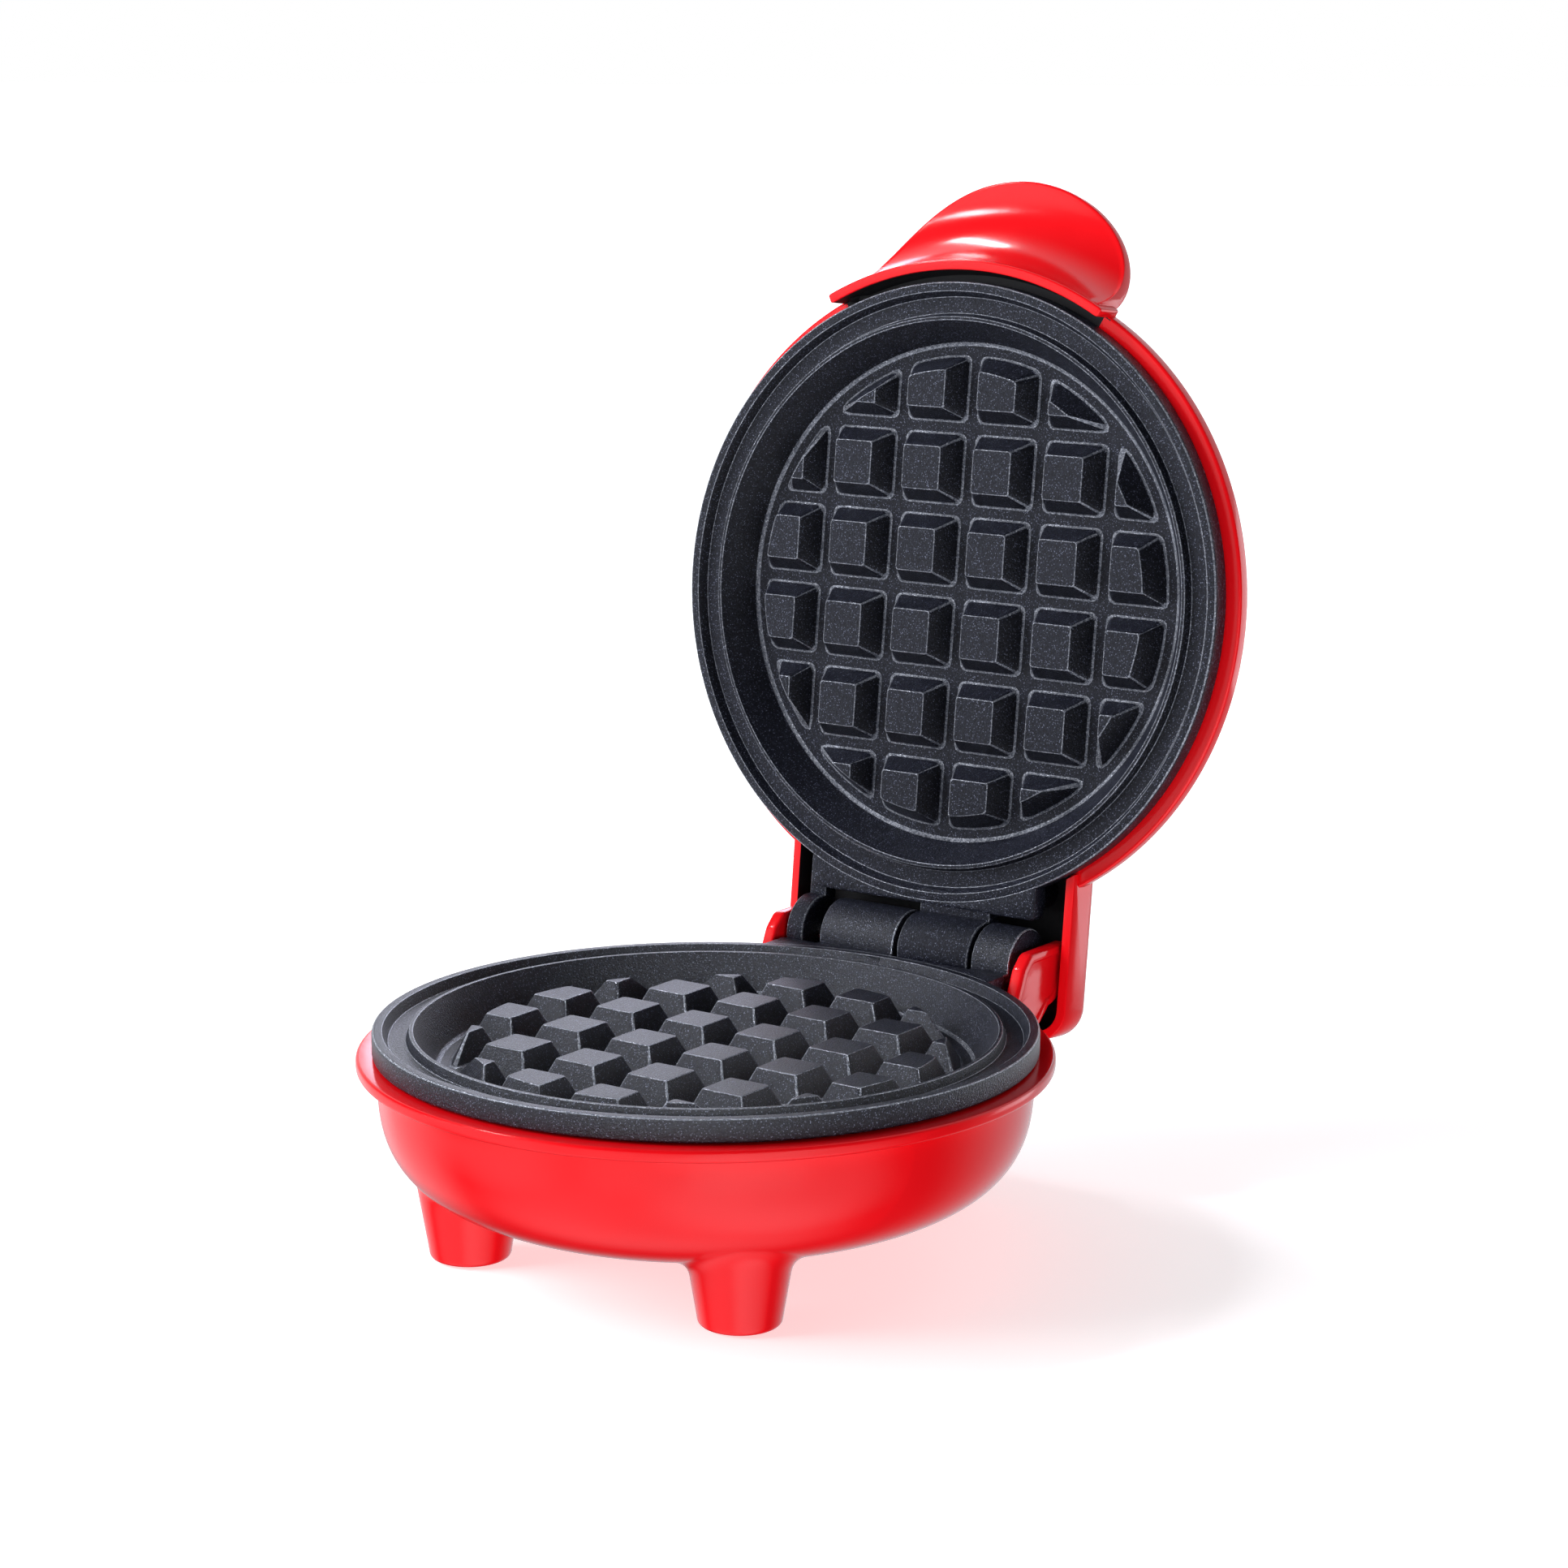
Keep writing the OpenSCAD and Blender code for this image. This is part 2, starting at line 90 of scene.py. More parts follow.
def rounded(points, radii, steps=5, closed=True):
    """The outline through points, with an arc of the given radius at each corner.

    An arc takes up less than half of each side beside it, so neighbours never meet.
    """
    out = []
    count = len(points)
    for i, radius in enumerate(radii):
        corner = np.array(points[i], float)
        if not radius or (not closed and i in (0, count - 1)):
            out.append(corner)
            continue
        a = np.array(points[i - 1], float) - corner
        b = np.array(points[(i + 1) % count], float) - corner
        longest = 0.49 * min(np.hypot(*a), np.hypot(*b))
        a, b = a / np.hypot(*a), b / np.hypot(*b)
        half = 0.5 * math.acos(np.clip(a @ b, -1, 1))
        reach = min(radius / math.tan(half), longest)
        arc_r = reach * math.tan(half)
        middle = corner + (a + b) / np.hypot(*(a + b)) * arc_r / math.sin(half)
        start, end = corner + a * reach - middle, corner + b * reach - middle
        first = math.atan2(start[1], start[0])
        turn = (math.atan2(end[1], end[0]) - first + math.pi) % (2 * math.pi) - math.pi
        for k in range(steps + 1):
            angle = first + turn * k / steps
            out.append(middle + arc_r * np.array([math.cos(angle), math.sin(angle)]))
    return np.array(out)


def inset(outline, distance):
    """A closed outline moved inwards."""
    ahead = np.roll(outline, -1, axis=0) - outline
    behind = outline - np.roll(outline, 1, axis=0)
    ahead /= np.linalg.norm(ahead, axis=1)[:, None] + 1e-12
    behind /= np.linalg.norm(behind, axis=1)[:, None] + 1e-12
    x, y = outline.T
    area = np.sum(x * np.roll(y, -1) - np.roll(x, -1) * y)
    turn = np.sign(area)
    normal_a = turn * np.stack([-ahead[:, 1], ahead[:, 0]], 1)
    normal_b = turn * np.stack([-behind[:, 1], behind[:, 0]], 1)
    mean = normal_a + normal_b
    mean /= np.linalg.norm(mean, axis=1)[:, None]
    stretch = 1 / np.clip((mean * normal_a).sum(1), 0.5, 1)
    return outline + mean * (distance * stretch)[:, None]


def superellipse(outer, flat, top, depth, depth_power, radius_power, steps=40):
    """Radius and height along a shell, from the edge of its flat crown to its wall."""
    a = np.radians(np.linspace(90, 0, steps + 1))
    radius = flat + (outer - flat) * np.cos(a) ** (2 / radius_power)
    z = -top - (depth - top) * np.sin(a) ** (2 / depth_power)
    return np.stack([radius, z], 1)


# ---------- solids ----------

class Solid:
    def __init__(self):
        self.points = []
        self.faces = []

    def loft(self, rings):
        """Skins a list of equal closed rings and caps both ends."""
        start = len(self.points)
        count = len(rings[0])
        for ring in rings:
            self.points.extend(np.asarray(ring, float))
        last = start + (len(rings) - 1) * count
        for a in range(start, last, count):
            b = a + count
            for j in range(count):
                k = (j + 1) % count
                self.faces.append((a + j, a + k, b + k, b + j))
        self.faces.append(tuple(start + j for j in range(count))[::-1])
        self.faces.append(tuple(last + j for j in range(count)))
        return self

    def spin(self, profile, steps=256, centre=(0, 0)):
        """Turns a profile of (radius, z) that runs from axis to axis; its ends are flat caps."""
        return self.loft([ring_at(centre, r, z, circle(steps)) for r, z in profile])

    def prism_x(self, outline, x0, x1, edge, steps=4, dish=0):
        """Extrudes a (y, z) outline from x0 to x1 with rounded edges; dish sinks the x1 face."""
        side = 1 if x1 > x0 else -1
        rings = []
        for k in range(steps + 1):
            a = math.pi / 2 * k / steps
            rings.append((edge * (1 - math.sin(a)), x0 + side * edge * (1 - math.cos(a))))
        for k in range(steps, -1, -1):
            a = math.pi / 2 * k / steps
            rings.append((edge * (1 - math.sin(a)), x1 - side * edge * (1 - math.cos(a))))
        made = []
        for depth, x in rings:
            ring = inset(outline, depth)
            made.append(np.column_stack([np.full(len(ring), x), ring]))
        if dish:
            brim = inset(outline, edge)
            middle = brim.mean(0)
            # The brim's flat, the slope with its two soft bends, and the sunk floor.
            for share, sunk in [(0.84, 0), (0.82, 0.1), (0.77, 0.9), (0.74, 1), (0.4, 1)]:
                ring = middle + (brim - middle) * share
                made.append(np.column_stack([np.full(len(ring), x1 - side * dish * sunk), ring]))
        return self.loft(made)

    def prism_z(self, outline, levels):
        """Stacks a plan outline at levels of (inset, z)."""
        made = []
        for depth, z in levels:
            ring = inset(outline, depth)
            made.append(np.column_stack([ring, np.full(len(ring), z)]))
        return self.loft(made)

    def tube_x(self, x0, x1, y, z, r, edge=0.0, steps=64):
        """A round bar along x, with rounded ends if edge is given."""
        outline = circle(steps) * r + np.array([y, z])
        if edge:
            return self.prism_x(outline, x0, x1, edge)
        return self.loft([np.column_stack([np.full(steps, x), outline]) for x in (x0, x1)])


def to_base(points):
    """From the parting plane to the standing base."""
    return points + np.array([0, 0, PARTING_Z])


def to_lid(points):
    """From the shut lid to the open one."""
    y = points[:, 1] - HINGE_Y
    z = points[:, 2]
    c, s = math.cos(OPEN_ANGLE), math.sin(OPEN_ANGLE)
    return np.stack([points[:, 0], HINGE_Y + y * c + z * s, PARTING_Z - y * s + z * c], 1)


def turned_over(points):
    """A shape drawn facing up, as it hangs in the lid."""
    return points * np.array([-1, 1, -1])


# ---------- meshes ----------

SHARP_ANGLE = math.radians(32)


def as_object(solid, name):
    mesh = bpy.data.meshes.new(name)
    points = np.array(solid.points) * MM
    mesh.from_pydata(points.tolist(), [], solid.faces)
    work = bmesh.new()
    work.from_mesh(mesh)
    bmesh.ops.recalc_face_normals(work, faces=work.faces)
    bmesh.ops.triangulate(work, faces=[f for f in work.faces if len(f.verts) > 4])
    work.to_mesh(mesh)
    work.free()
    obj = bpy.data.objects.new(name, mesh)
    bpy.context.scene.collection.objects.link(obj)
    return obj


def combine(name, steps):
    """One closed mesh from [(operation, solid)], worked in metres about the parting plane."""
    result = as_object(steps[0][1], name)
    helpers = []
    for operation, solid in steps[1:]:
        helper = as_object(solid, name + "_tool")
        modifier = result.modifiers.new(operation, "BOOLEAN")
        modifier.operation = operation
        modifier.solver = "MANIFOLD"
        modifier.object = helper
        helpers.append(helper)
    bpy.context.view_layer.update()
    evaluated = result.evaluated_get(bpy.context.evaluated_depsgraph_get())
    mesh = bpy.data.meshes.new_from_object(evaluated)
    result.modifiers.clear()
    result.data = mesh
    for helper in helpers:
        bpy.data.objects.remove(helper)
    return result


def mark(obj, chosen):
    """Gives the faces picked by chosen(x, y, z, normal) the piece's second material."""
    count = len(obj.data.polygons)
    middles, normals = np.empty(count * 3), np.empty(count * 3)
    obj.data.polygons.foreach_get("center", middles)
    obj.data.polygons.foreach_get("normal", normals)
    picked = chosen(*(middles.reshape(-1, 3) / MM).T, normals.reshape(-1, 3))
    obj.data.polygons.foreach_set("material_index", picked.astype(int))


def finish_piece(obj, place, body, node, slot, *materials):
    """Moves a finished mesh into place, gives it its materials, parents it to its body and hides
    its CAD node.
    """
    mesh = obj.data
    points = np.empty(len(mesh.vertices) * 3)
    mesh.vertices.foreach_get("co", points)
    moved = place(points.reshape(-1, 3) / MM) * MM
    mesh.vertices.foreach_set("co", moved.ravel())
    mesh.update()
    mesh.polygons.foreach_set("use_smooth", [True] * len(mesh.polygons))
    mesh.set_sharp_from_angle(angle=SHARP_ANGLE)
    second = np.empty(len(mesh.polygons), int)
    mesh.polygons.foreach_get("material_index", second)
    mesh.materials.clear()
    for material in materials:
        mesh.materials.append(material)
    mesh.polygons.foreach_set("material_index", second * (len(materials) - 1))
    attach(obj, body)
    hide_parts(node)
    return obj


# ---------- materials ----------

class Nodes:
    """Short names for building a material's node tree."""

    def __init__(self, name):
        self.material = bpy.data.materials.new(name)
        self.material.use_nodes = True
        self.tree = self.material.node_tree
        self.shader = self.tree.nodes["Principled BSDF"]
        coordinates = self.tree.nodes.new("ShaderNodeTexCoord")
        scale = self.tree.nodes.new("ShaderNodeVectorMath")
        scale.operation = "SCALE"
        scale.inputs["Scale"].default_value = 1 / MM
        self.tree.links.new(coordinates.outputs["Object"], scale.inputs[0])
        self.mm = scale.outputs[0]  # the place on the piece, in millimetres

    def noise(self, scale, detail=3, roughness=0.5, stretch=None):
        node = self.tree.nodes.new("ShaderNodeTexNoise")
        node.inputs["Scale"].default_value = scale
        node.inputs["Detail"].default_value = detail
        node.inputs["Roughness"].default_value = roughness
        self.tree.links.new(self.stretched(stretch), node.inputs["Vector"])
        return node.outputs[0]

    def cells(self, scale):
        node = self.tree.nodes.new("ShaderNodeTexVoronoi")
        node.inputs["Scale"].default_value = scale
        self.tree.links.new(self.mm, node.inputs["Vector"])
        return node.outputs["Distance"]

    def stretched(self, stretch):
        if not stretch:
            return self.mm
        node = self.tree.nodes.new("ShaderNodeVectorMath")
        node.operation = "MULTIPLY"
        node.inputs[1].default_value = stretch
        self.tree.links.new(self.mm, node.inputs[0])
        return node.outputs[0]

    def ramp(self, value, low, high, out_low=0.0, out_high=1.0):
        node = self.tree.nodes.new("ShaderNodeMapRange")
        node.inputs["From Min"].default_value = low
        node.inputs["From Max"].default_value = high
        node.inputs["To Min"].default_value = out_low
        node.inputs["To Max"].default_value = out_high
        self.tree.links.new(value, node.inputs["Value"])
        return node.outputs[0]

    def product(self, a, b):
        node = self.tree.nodes.new("ShaderNodeMath")
        node.operation = "MULTIPLY"
        self.tree.links.new(a, node.inputs[0])
        self.tree.links.new(b, node.inputs[1])
        return node.outputs[0]

    def mix(self, factor, a, b):
        """Blends two colours; inputs 6 and 7 and output 2 are the node's colour sockets."""
        node = self.tree.nodes.new("ShaderNodeMix")
        node.data_type = "RGBA"
        self.tree.links.new(factor, node.inputs["Factor"])
        for socket, value in ((node.inputs[6], a), (node.inputs[7], b)):
            if isinstance(value, tuple):
                socket.default_value = (*value, 1)
            else:
                self.tree.links.new(value, socket)
        return node.outputs[2]

    def bump(self, height, distance, strength=1.0, normal=None):
        node = self.tree.nodes.new("ShaderNodeBump")
        node.inputs["Distance"].default_value = distance * MM
        node.inputs["Strength"].default_value = strength
        self.tree.links.new(height, node.inputs["Height"])
        if normal:
            self.tree.links.new(normal, node.inputs["Normal"])
        return node.outputs[0]

    def set(self, **values):
        """Sets the shader's inputs, named with _ for a space, to numbers, colours or outputs."""
        for name, value in values.items():
            socket = self.shader.inputs[name.replace("_", " ")]
            if isinstance(value, (int, float)):
                socket.default_value = value
            elif isinstance(value, tuple):
                socket.default_value = (*value, 1)
            else:
                self.tree.links.new(value, socket)
        return self.material


def gloss_red():
    """Glossy moulded plastic: clouded colour, a slow ripple and a fine grain."""
    n = Nodes("gloss_red")
    cloud = n.noise(0.05, 2)
    fine = n.noise(2.5, 4, 0.65)
    deep, bright = (0.84, 0.003, 0.007), (0.90, 0.005, 0.010)
    colour = n.mix(n.ramp(cloud, 0.3, 0.7), deep, bright)
    ripple = n.bump(n.noise(0.22, 2), 0.05, 0.35)
    grain = n.bump(fine, 0.006, 0.3, ripple)
    return n.set(
        Base_Color=colour,
        Roughness=n.ramp(fine, 0.3, 0.7, 0.12, 0.20),
        Specular_IOR_Level=0.32,
        Normal=grain,
    )


def nonstick(name, dark, light, fleck, roughness, metallic):
    """Pebbled non-stick coating with pale flecks."""
    n = Nodes(name)
    flecks = n.ramp(n.cells(2.6), 0.32, 0.14)
    soft = n.noise(2.0, 5, 0.75)
    colour = n.mix(n.ramp(soft, 0.38, 0.64), dark, light)
    colour = n.mix(n.product(flecks, n.ramp(soft, 0.42, 0.56)), colour, fleck)
    pebbled = n.bump(n.noise(2.8, 3, 0.6), 0.20, 1.0)
    return n.set(
        Base_Color=colour,
        Metallic=metallic,
        Roughness=n.ramp(soft, 0.3, 0.7, roughness, roughness * 1.5),
        Normal=pebbled,
    )


def metal(name, colour, roughness, stretch=None, dark=0.75):
    """Bare metal; stretch draws its grain out into brush marks, dark is its darkest patches."""
    n = Nodes(name)
    grain = n.noise(3.0, 4, 0.6, stretch)
    tint = tuple(c * dark for c in colour)
    return n.set(
        Base_Color=n.mix(n.ramp(n.noise(0.25, 3), 0.35, 0.65), colour, tint),
        Metallic=1.0,
        Roughness=n.ramp(grain, 0.3, 0.7, roughness * 0.8, roughness * 1.3),
        Normal=n.bump(grain, 0.01, 0.4),
    )


def matte(name, colour, roughness, grain_scale=4.0, depth=0.02, dark=0.8):
    """Rubber, nylon, ceramic or braid; depth is how deep its grain is."""
    n = Nodes(name)
    grain = n.noise(grain_scale, 4, 0.6)
    tint = tuple(c * dark for c in colour)
    return n.set(
        Base_Color=n.mix(n.ramp(grain, 0.35, 0.65), tint, colour),
        Roughness=n.ramp(grain, 0.3, 0.7, roughness * 0.85, min(1.0, roughness * 1.1)),
        Normal=n.bump(grain, depth, 0.6),
    )


def clear_plastic(name, colour, roughness, transmission):
    n = Nodes(name)
    fine = n.noise(1.5, 3)
    return n.set(
        Base_Color=n.mix(n.ramp(fine, 0.35, 0.65), colour, tuple(c * 0.9 for c in colour)),
        Roughness=n.ramp(fine, 0.3, 0.7, roughness, roughness * 1.6),
        Transmission_Weight=transmission,
        IOR=1.49,
    )


RED = gloss_red()
COATING = nonstick(
    "nonstick", dark=(0.002, 0.0025, 0.006), light=(0.014, 0.016, 0.029),
    fleck=(0.20, 0.22, 0.31), roughness=0.28, metallic=0.15)
# Painted highlight: a lighter, glossier coating for the rounded edges, standing in for the light
# they catch.
COATING_PAINTED_HIGHLIGHT = nonstick(
    "nonstick_painted_highlight", dark=(0.10, 0.11, 0.14), light=(0.42, 0.44, 0.50),
    fleck=(0.85, 0.87, 0.95), roughness=0.18, metallic=0.5)
STEEL = metal("bright_steel", (0.62, 0.62, 0.64), 0.24)
SHEATH = metal("element_sheath", (0.30, 0.28, 0.26), 0.45, dark=0.6)
ALUMINIUM = metal("shield_aluminium", (0.70, 0.71, 0.72), 0.30, stretch=(1, 0.08, 1))
RUBBER = matte("pad_rubber", (0.020, 0.020, 0.022), 0.75)
# Painted shade: a matte black put on red faces that lie deep in shadow.
PAINTED_SHADE_BLACK = matte("painted_shade_black", (0.012, 0.012, 0.014), 0.6)
NYLON = matte("gland_nylon", (0.015, 0.015, 0.017), 0.5)
CERAMIC = matte("ceramic", (0.80, 0.76, 0.68), 0.55, grain_scale=2.0)
SLEEVING = matte("wire_sleeving", (0.68, 0.64, 0.55), 0.8, grain_scale=3.0, depth=0.08, dark=0.6)
AMBER = clear_plastic("amber_lens", (0.85, 0.22, 0.03), 0.08, 0.5)
LAMP = clear_plastic("neon_lamp", (0.95, 0.70, 0.45), 0.05, 0.6)

CAD_MATERIALS = {
    "foot_pads": RUBBER, "base_screws": STEEL, "lower_element": SHEATH,
    "lower_element_clips": STEEL, "lower_clip_screws": STEEL, "lower_heat_shield": ALUMINIUM,
    "thermal_fuse": CERAMIC, "terminal_block": CERAMIC, "terminal_screws": STEEL,
    "base_wiring": SLEEVING, "cord_gland": NYLON, "hinge_pin": STEEL, "lid_screws": STEEL,
    "upper_element": SHEATH, "upper_element_clips": STEEL, "upper_clip_screws": STEEL,
    "upper_heat_shield": ALUMINIUM, "thermostat": CERAMIC, "neon_lamp": LAMP,
    "indicator_lens": AMBER, "lid_wiring": SLEEVING,
}
for node, finish in CAD_MATERIALS.items():
    part = frame["nodes"][node]
    part.data.materials.clear()
    part.data.materials.append(finish)
    part.data.polygons.foreach_set("material_index", [0] * len(part.data.polygons))


# ---------- cooking plates ----------

# Each rim stays GAP under the parting plane; the heights are measured from it.
GAP = 0.2
LIP_TOP = -0.4
GROOVE = -2.1
STUD_TOP = -2.4
TONGUE_UNDER = -4.3
RIM_UNDER = -4.4
CAVITY = -7.5
PAN_UNDER = -10
# Studs: half their width at the top and at the floor, and the round field that cuts them.
STUD_HALF = 4.25
STUD_HALF_FLOOR = 6.7
STUD_PITCH = 16.0
STUD_ROWS = 6
FIELD_R_TOP = 43.3
FIELD_R_FLOOR = 46.0
TONGUE_HALF = 26
TONGUE_END = 60.6
KNUCKLE_R = 7.0
PIN_BORE = 40  # the bore's reach along x, past the last knuckle


def stud_outline(cx, cy, half, field_r, corner, origin, count):
    """A rounded square cut by the round field, as rays from its middle.

    The rays crowd towards the square's corners.
    """
    s = np.linspace(0, 2 * math.pi, count, endpoint=False)
    angles = s + 0.17 * np.sin(4 * s)
    rays = np.stack([np.cos(angles), np.sin(angles)], 1)

    def outside(p):
        sides = np.stack([p[:, 0] - cx - half, cx - half - p[:, 0], p[:, 1] - cy - half,
                          cy - half - p[:, 1], np.hypot(p[:, 0], p[:, 1]) - field_r], 1)
        grown = sides + corner
        return (np.minimum(grown.max(1), 0)
                + np.linalg.norm(np.maximum(grown, 0), axis=1) - corner)

    near, far = np.zeros(count), np.full(count, 3 * STUD_PITCH / 2)
    for _ in range(26):
        middle = (near + far) / 2
        hit = outside(origin + rays * middle[:, None]) > 0
        far = np.where(hit, middle, far)
        near = np.where(hit, near, middle)
    return origin + rays * np.maximum(near, 0.02)[:, None]


SMALLEST_STUD = 30  # grid points of 41 x 41 that a stud's top must keep inside the field


def studs():
    """All the studs, each a loft with a filleted root, draughted sides and a softened top edge."""
    side = rounded(
        [(STUD_HALF_FLOOR + 3, CAVITY), (STUD_HALF_FLOOR, CAVITY), (STUD_HALF, STUD_TOP),
         (STUD_HALF - 3, STUD_TOP)], [0, 0.9, 0.4, 0], steps=4, closed=False)[1:-1]
    # The root starts inside the floor and clears it by a hair, so the two don't coincide.
    root = side[0][0]
    levels = [(root, CAVITY - 0.8), (root, CAVITY + 0.01), *map(tuple, side[1:]),
              (side[-1][0] - 0.25, STUD_TOP)]
    solid = Solid()
    centres = (np.arange(STUD_ROWS) - (STUD_ROWS - 1) / 2) * STUD_PITCH
    slope = (FIELD_R_FLOOR - FIELD_R_TOP) / (STUD_HALF_FLOOR - STUD_HALF)
    for cx in centres:
        for cy in centres:
            grid = np.stack(np.meshgrid(np.linspace(-1, 1, 41), np.linspace(-1, 1, 41)), -1)
            grid = grid.reshape(-1, 2) * STUD_HALF + (cx, cy)
            inside = grid[np.hypot(grid[:, 0], grid[:, 1]) < FIELD_R_TOP]
            if len(inside) < SMALLEST_STUD:
                continue
            origin = inside.mean(0)
            whole = len(inside) == len(grid)
            room = min(STUD_HALF, FIELD_R_TOP - np.hypot(*origin),
                       STUD_HALF - max(abs(origin[0] - cx), abs(origin[1] - cy)))
            rings = []
            for half, z in levels:
                field_r = FIELD_R_TOP + slope * (half - STUD_HALF)
                share = (half - STUD_HALF) / (STUD_HALF_FLOOR - STUD_HALF)
                corner = min(0.55 + 0.9 * max(share, 0), 0.5 * room + max(share, 0))
                plan = stud_outline(cx, cy, half, field_r, corner, origin, 64 if whole else 88)
                rings.append(np.column_stack([plan, np.full(len(plan), z)]))
            solid.loft(rings)
    return solid


def pan():
    """The round pan: cavity, lip, groove and rim, then the underside back to the axis."""
    points = [(AXIS_R, CAVITY), (48.5, CAVITY), (52.7, LIP_TOP), (53.4, LIP_TOP),
              (54.0, GROOVE), (57.2, GROOVE), (58.2, -GAP), (PLATE_R, -GAP),
              (PLATE_R, RIM_UNDER), (54.6, RIM_UNDER), (49.3, PAN_UNDER), (AXIS_R, PAN_UNDER)]
    radii = [0, 1.4, 0.3, 0.3, 0.25, 0.25, 0.3, 0.55, 0.5, 1.5, 1.5, 0]
    return Solid().spin(rounded(points, radii, closed=False))


def tongue():
    """The plate's straight extension towards the hinge; it starts inside the rim."""
    arc_r = PLATE_R - 0.7
    half_turn = math.asin(TONGUE_HALF / arc_r)
    arc = [(arc_r * math.sin(a), arc_r * math.cos(a))
           for a in np.linspace(-half_turn, half_turn, 24)]
    plan = rounded([*arc, (TONGUE_HALF, TONGUE_END), (-TONGUE_HALF, TONGUE_END)],
                   [0] * len(arc) + [1.2, 1.2])
    edge = 0.5
    bevel = edge * 0.3
    levels = [(edge, TONGUE_UNDER), (bevel, TONGUE_UNDER + bevel), (0, TONGUE_UNDER + edge),
              (0, -GAP - edge), (bevel, -GAP - bevel), (edge, -GAP)]
    return Solid().prism_z(plan, levels)


def knuckles(spans):
    """The hinge barrels, on the pin's axis."""
    solid = Solid()
    for x0, x1 in spans:
        solid.tube_x(x0, x1, HINGE_Y, 0, KNUCKLE_R, 0.5)
    return solid


def arms(spans):
    """What joins each knuckle to the tongue."""
    solid = Solid()
    start, end = TONGUE_END - 3, HINGE_Y - 1
    outline = rounded([(start, LIP_TOP), (end, LIP_TOP), (end, -4.9),
                       (HINGE_Y - 3.4, TONGUE_UNDER), (start, TONGUE_UNDER)], [0, 0, 0, 0.8, 0])
    for x0, x1 in spans:
        solid.prism_x(outline, x0 + 0.05, x1 - 0.05, 0.4)
    return solid


def bosses(places, r, top, bottom):
    """Screw bosses under the pan."""
    solid = Solid()
    for x, y in places:
        solid.spin([(r, bottom), (r, top)], 40, (x, y))
    return solid


def painted_highlight_edges(x, y, z, normal):
    """Rounded edges of the rim, the knuckles and the studs, where a lighter coating is a painted
    highlight.
    """
    r = np.hypot(x, y)
    tilt = normal[:, 2]
    rim = (r < PLATE_R + 0.05) & (tilt > 0.6) & (tilt < 0.97)
    across = np.abs(normal[:, 0])
    on_knuckle = (np.hypot(y - HINGE_Y, z) > KNUCKLE_R - 0.5) & (y > TONGUE_END + 0.5)
    knuckle = on_knuckle & (across > 0.2) & (across < 0.97)
    nearest = [STUD_PITCH * (np.floor(c / STUD_PITCH) + 0.5) for c in (x, y)]
    half = np.interp(z, [CAVITY, STUD_TOP], [STUD_HALF_FLOOR, STUD_HALF])
    field_r = np.interp(z, [CAVITY, STUD_TOP], [FIELD_R_FLOOR, FIELD_R_TOP])
    to_x, to_y = half - np.abs(x - nearest[0]), half - np.abs(y - nearest[1])
    to_field = field_r - r
    near = 0.42
    corner = ((to_x < near) & (to_y < near)) | ((to_field < near) & (np.minimum(to_x, to_y) < near))
    on_stud = (z > CAVITY + 0.1) & (z < STUD_TOP - 0.05) & (r < FIELD_R_FLOOR + 2)
    return rim | knuckle | (corner & on_stud)


def plate(name, spans, boss, place, body):
    """A cooking plate; spans are its knuckles along x, boss is what bosses() takes."""
    bore = Solid().tube_x(-PIN_BORE, PIN_BORE, HINGE_Y, 0, PIN_R + PIN_PLAY)
    steps = [("BASE", pan()), ("UNION", studs()), ("UNION", tongue()), ("UNION", arms(spans)),
             ("UNION", knuckles(spans)), ("UNION", bosses(*boss)), ("DIFFERENCE", bore)]
    obj = combine(name, steps)
    # The rounded edges get the painted highlight coating.
    mark(obj, painted_highlight_edges)
    return finish_piece(obj, place, body, name, "nonstick_coating", COATING, COATING_PAINTED_HIGHLIGHT)


# ---------- housings ----------

# Wall radius, radius of the flat crown, depths of the flange and crown, and the two powers.
BOWL = (59.3, 21.1, 7, 32.3, 3.1, 3.1)
DOME = (59.3, 15, 7.9, 27.5, 2.5, 2.4)
WALL = 2.2
FLANGE_FACE = -4.75
# Front feet, then rear feet.
FOOT_PLACES = [(30, -31), (-30, -31), (18, 46), (-18, 46)]
FOOT_R, FOOT_WELL_R = 7.25, 4.8
SADDLE_HALF = 22
EAR_IN, EAR_OUT = 27.3, 30.0
STOP_Y = HINGE_Y + 1.7
PIN_SEAT = 29.45  # half the length of the pin's hole through the ears
INLET_R, INLET_Z = 4.9, -21.5
# The skirt is a wall in front of the lid's plate; its angle is half of what it spans, in degrees.
SKIRT_IN, SKIRT_OUT, SKIRT_TOP, SKIRT_ANGLE = 62.3, 64.2, 7.2, 29
# The scoop is a quarter of an ellipse, from its tip at SCOOP_R back to the skirt.
SCOOP_R, SCOOP_Z = 79.5, 0.3
SCOOP_REACH, SCOOP_RISE = 15.3, 19.6
# The visor round it is a disc in plan; its back stays above INSIDE_FLANGE.
VISOR = 2.4
HANDLE_Y = -50.2
HANDLE_R = 30.4
LIP_EDGE, BACK_EDGE = 0.5, 0.9
INSIDE_FLANGE = 6.6
TAB_HALF, TAB_END, TAB_FRONT, TAB_TOP, TAB_WALL = 32.7, HINGE_Y + 15, 3.2, 13, 1.8
LID_SCREWS = [(22, 56), (-22, 56)]
LENS_PLACE = (0, -32)
LID_WELL_R, LENS_HOLE_R = 3.3, 3.3


def outer_profile(curve, flange_r):
    """A housing's outside, from its flat crown up to the flange's face."""
    outer, flat, top, depth, power_z, power_r = curve
    bend = superellipse(outer, flat, top, depth, power_z, power_r)
    rim = rounded([bend[-2], (outer, -top), (flange_r, -top), (flange_r, FLANGE_FACE),
                   (outer - 5, FLANGE_FACE)], [0, 1.3, 0.7, 0.6, 0], closed=False)
    return [(AXIS_R, -depth), *map(tuple, bend[:-2]), *map(tuple, rim), (AXIS_R, FLANGE_FACE)]


